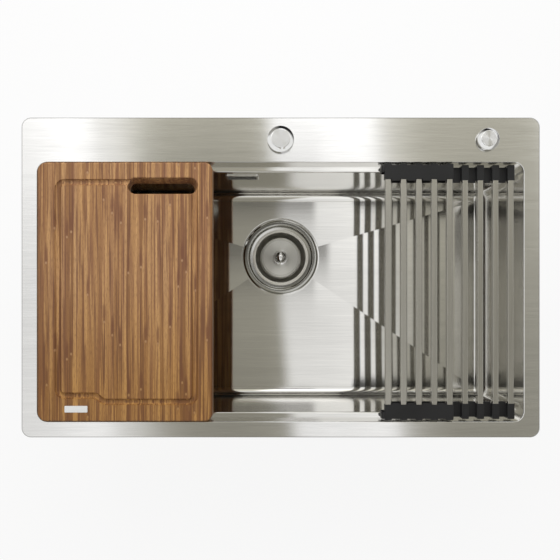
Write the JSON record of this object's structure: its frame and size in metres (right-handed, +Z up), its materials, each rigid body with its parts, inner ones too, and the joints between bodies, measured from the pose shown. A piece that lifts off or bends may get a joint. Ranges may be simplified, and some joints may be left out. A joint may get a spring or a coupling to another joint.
{
  "type": "kitchen sink",
  "caption": "Top-mounted stainless workstation sink with ledged bowl, creased floor, basket strainer, overflow, hole covers, sliding bamboo board and folding rod rack.",
  "frame": {"origin": "middle of the bowl's mouth, on the worktop's top surface under the rim seal", "axes": "+X to the right along the sink's length, +Y to the rear, where the tap stands, +Z up"},
  "size_m": [0.81, 0.5, 0.3782],
  "materials": {
    "brushed_steel": "brushed along the length",
    "bowl_steel": "satin brushed",
    "spun_steel": "lathe-turned rings",
    "satin_frame": "satin",
    "zinc_steel": "zinc plated",
    "rod_steel": "satin with bright edges",
    "chrome": "polished",
    "black_rubber": "matt",
    "silicone": "soft matt silicone",
    "pad_rubber": "matt",
    "grey_plastic": "matt",
    "hose_plastic": "matt",
    "bamboo": "oiled, upright strips"
  },
  "bodies": {
    "sink": {"accessory_cover": "chrome", "accessory_cover_seal": "black_rubber", "accessory_cover_washer": "grey_plastic", "accessory_cover_wing_nut": "zinc_steel", "body_seal": "black_rubber", "bowl_body": "bowl_steel", "clip_brackets": "zinc_steel", "clip_screws": "zinc_steel", "deck_plate": "brushed_steel", "floor_pads": "pad_rubber", "hose_nut_lower": "grey_plastic", "hose_nut_upper": "grey_plastic", "lock_nut": "grey_plastic", "lower_seal": "black_rubber", "overflow_frame": "satin_frame", "overflow_gasket": "black_rubber", "overflow_hose": "hose_plastic", "overflow_housing": "grey_plastic", "rim_clips": "zinc_steel", "rim_seal": "black_rubber", "strainer_flange": "spun_steel", "tap_cover": "chrome", "tap_cover_seal": "black_rubber", "tap_cover_washer": "grey_plastic", "tap_cover_wing_nut": "zinc_steel", "upper_seal": "black_rubber", "wall_pads": "pad_rubber", "waste_body": "grey_plastic"},
    "basket": {"strainer_basket": "spun_steel"},
    "stopper": {"stopper_plate": "spun_steel", "stopper_stem": "spun_steel", "stopper_seal": "black_rubber", "stopper_knob": "chrome"},
    "board": {"cutting_board": "bamboo", "name_plate": "satin_frame"},
    "rack": {"rack_rod_01": "rod_steel", "rack_rod_02": "rod_steel", "rack_rod_03": "rod_steel", "rack_rod_04": "rod_steel", "rack_rod_05": "rod_steel", "rack_rod_06": "rod_steel", "rack_rod_07": "rod_steel", "rack_rod_08": "rod_steel", "rack_rod_09": "rod_steel", "rack_strip_rear": "silicone", "rack_strip_front": "silicone", "fold_loop_rear": "silicone", "fold_loop_front": "silicone"},
    "rack_flap": {"rack_rod_10": "rod_steel", "rack_rod_11": "rod_steel", "rack_rod_12": "rod_steel", "rack_rod_13": "rod_steel", "rack_rod_14": "rod_steel", "flap_strip_rear": "silicone", "flap_strip_front": "silicone"}
  },
  "joints": [
    {"name": "board_slide", "type": "slide", "parent": "sink", "child": "board", "axis": [1, 0, 0], "range_m": [0, 0.15]},
    {"name": "rack_lift", "type": "slide", "parent": "sink", "child": "rack", "axis": [0, 0, 1], "range_m": [0, 0.12]},
    {"name": "rack_flap_hinge", "type": "hinge", "parent": "rack", "child": "rack_flap", "pos_m": [0.1575, 0, -0.0047], "axis": [0, -1, 0], "range_deg": [0, 180], "deforming": ["fold_loop_rear", "fold_loop_front"]},
    {"name": "basket_lift", "type": "slide", "parent": "sink", "child": "basket", "axis": [0, 0, 1], "range_m": [0, 0.1]},
    {"name": "stopper_slide", "type": "slide", "parent": "basket", "child": "stopper", "axis": [0, 0, 1], "range_m": [-0.008, 0]}
  ]
}
